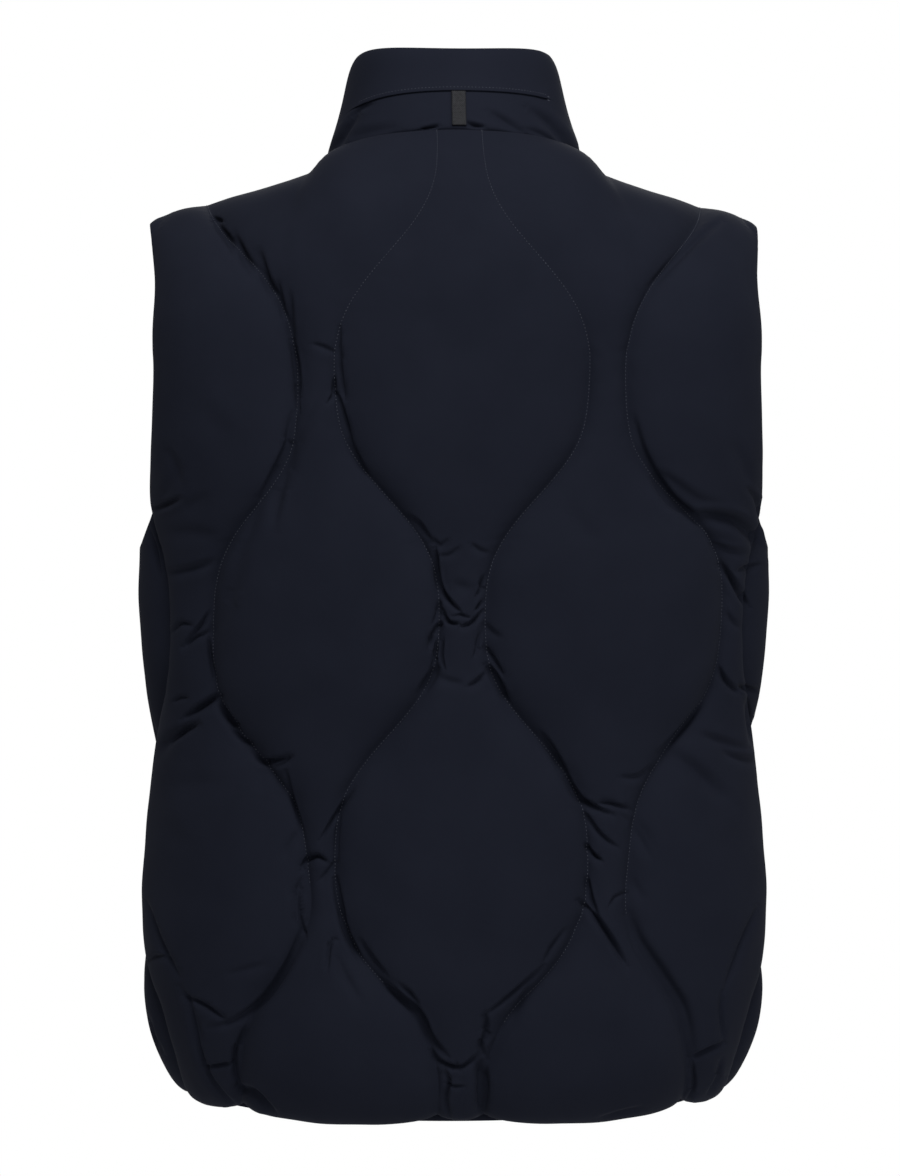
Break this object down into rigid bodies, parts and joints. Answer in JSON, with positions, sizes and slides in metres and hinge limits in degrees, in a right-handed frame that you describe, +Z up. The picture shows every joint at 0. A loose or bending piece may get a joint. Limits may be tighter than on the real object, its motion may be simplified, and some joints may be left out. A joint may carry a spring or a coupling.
{
  "type": "quilted vest",
  "caption": "Sleeveless padded vest with wavy upright quilting, a stand collar, a hanger loop, a turned-in hem and a full-length front zip, filled out as worn.",
  "frame": {"origin": "where the wearer's shoulders carry it: midway between the two points where the shoulder seams meet the collar, 11 mm above them", "axes": "+Z up, the wearer faces -Y, and the wearer's left is +X"},
  "size_m": [0.417, 0.2928, 0.6977],
  "materials": {
    "navy_shell": "matte",
    "dark_tape": "matte",
    "dark_teeth": "matte",
    "dark_metal": "satin"
  },
  "bodies": {
    "vest": {"back_panel": "navy_shell", "front_panel_left": "navy_shell", "front_panel_right": "navy_shell", "collar": "navy_shell", "hem_band": "navy_shell", "hanger_loop": "dark_tape", "zip_tape_left": "dark_tape", "zip_tape_right": "dark_tape", "zip_teeth": "dark_teeth", "zip_box": "dark_teeth", "slider": "dark_metal"},
    "pull_tab": {"pull_tab": "dark_metal"}
  },
  "joints": [
    {"name": "pull_tab_swing", "type": "hinge", "parent": "vest", "child": "pull_tab", "pos_m": [0, -0.06933, 0.02306], "axis": [-1, 0, 0], "range_deg": [0, 110]}
  ]
}
